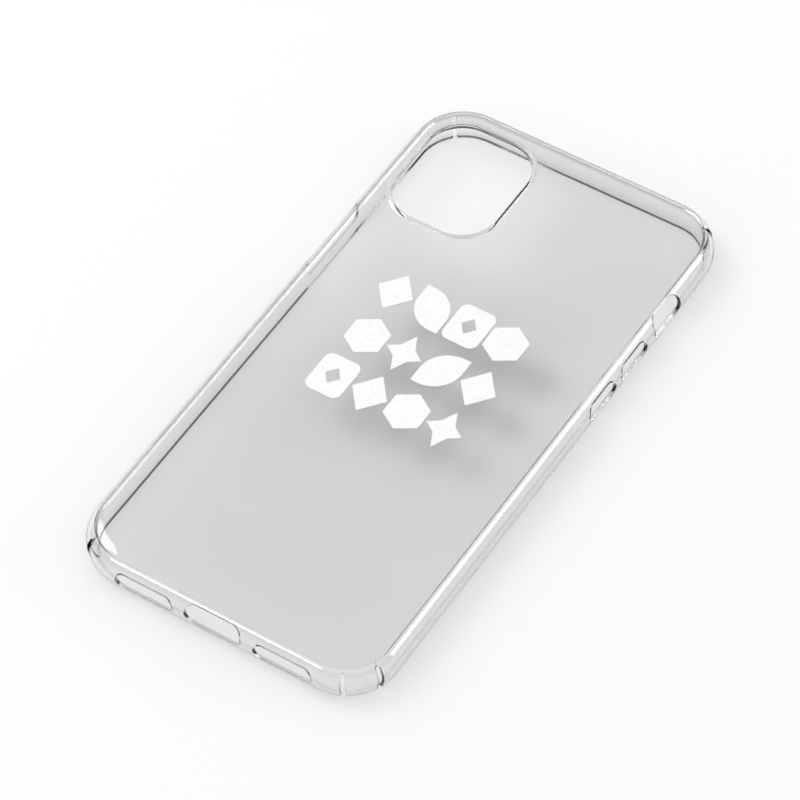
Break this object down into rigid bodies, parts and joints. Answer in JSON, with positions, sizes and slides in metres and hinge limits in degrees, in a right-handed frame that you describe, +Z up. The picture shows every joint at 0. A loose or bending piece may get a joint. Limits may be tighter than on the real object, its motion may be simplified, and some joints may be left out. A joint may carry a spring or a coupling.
{
  "type": "phone case",
  "caption": "Clear hard clip-on phone case with slit corners, springy side walls, a raised camera window rim and cutouts for ports and buttons",
  "frame": {"origin": "centre of the case at the rim plane, which is the lowest level when it lies with its back up", "axes": "+X right when looking at the outside of the back with the camera end up, +Y towards the camera end, +Z up from the rim to the back"},
  "size_m": [0.0776, 0.1528, 0.01],
  "materials": {
    "clear_polycarbonate": "colourless, transparent and polished",
    "white_ink": "opaque satin print"
  },
  "bodies": {
    "shell": {"back_panel": "clear_polycarbonate", "shoulder_frame": "clear_polycarbonate", "print_row_top": "white_ink", "print_row_middle": "white_ink", "print_row_bottom": "white_ink"},
    "left_side": {"left_wall": "clear_polycarbonate"},
    "right_side": {"right_wall": "clear_polycarbonate"},
    "top_end": {"top_wall": "clear_polycarbonate"},
    "bottom_end": {"bottom_wall": "clear_polycarbonate"},
    "tab": {"corner_tab": "clear_polycarbonate"}
  },
  "joints": [
    {"name": "left_wall_flex", "type": "hinge", "parent": "shell", "child": "left_side", "pos_m": [-0.03785, 0, 0.0074], "axis": [0, 1, 0], "range_deg": [0, 12], "stiffness_Nm_per_rad": 1.2},
    {"name": "right_wall_flex", "type": "hinge", "parent": "shell", "child": "right_side", "pos_m": [0.03785, 0, 0.0074], "axis": [0, -1, 0], "range_deg": [0, 12], "stiffness_Nm_per_rad": 1.2},
    {"name": "top_wall_flex", "type": "hinge", "parent": "shell", "child": "top_end", "pos_m": [0, 0.07545, 0.0074], "axis": [1, 0, 0], "range_deg": [0, 12], "stiffness_Nm_per_rad": 0.8},
    {"name": "bottom_wall_flex", "type": "hinge", "parent": "shell", "child": "bottom_end", "pos_m": [0, -0.07545, 0.0074], "axis": [-1, 0, 0], "range_deg": [0, 12], "stiffness_Nm_per_rad": 0.7},
    {"name": "corner_tab_flex", "type": "hinge", "parent": "shell", "child": "tab", "pos_m": [0.03462, -0.07155, 0.0074], "axis": [-0.6788, -0.7343, 0], "range_deg": [0, 12], "stiffness_Nm_per_rad": 0.3}
  ]
}
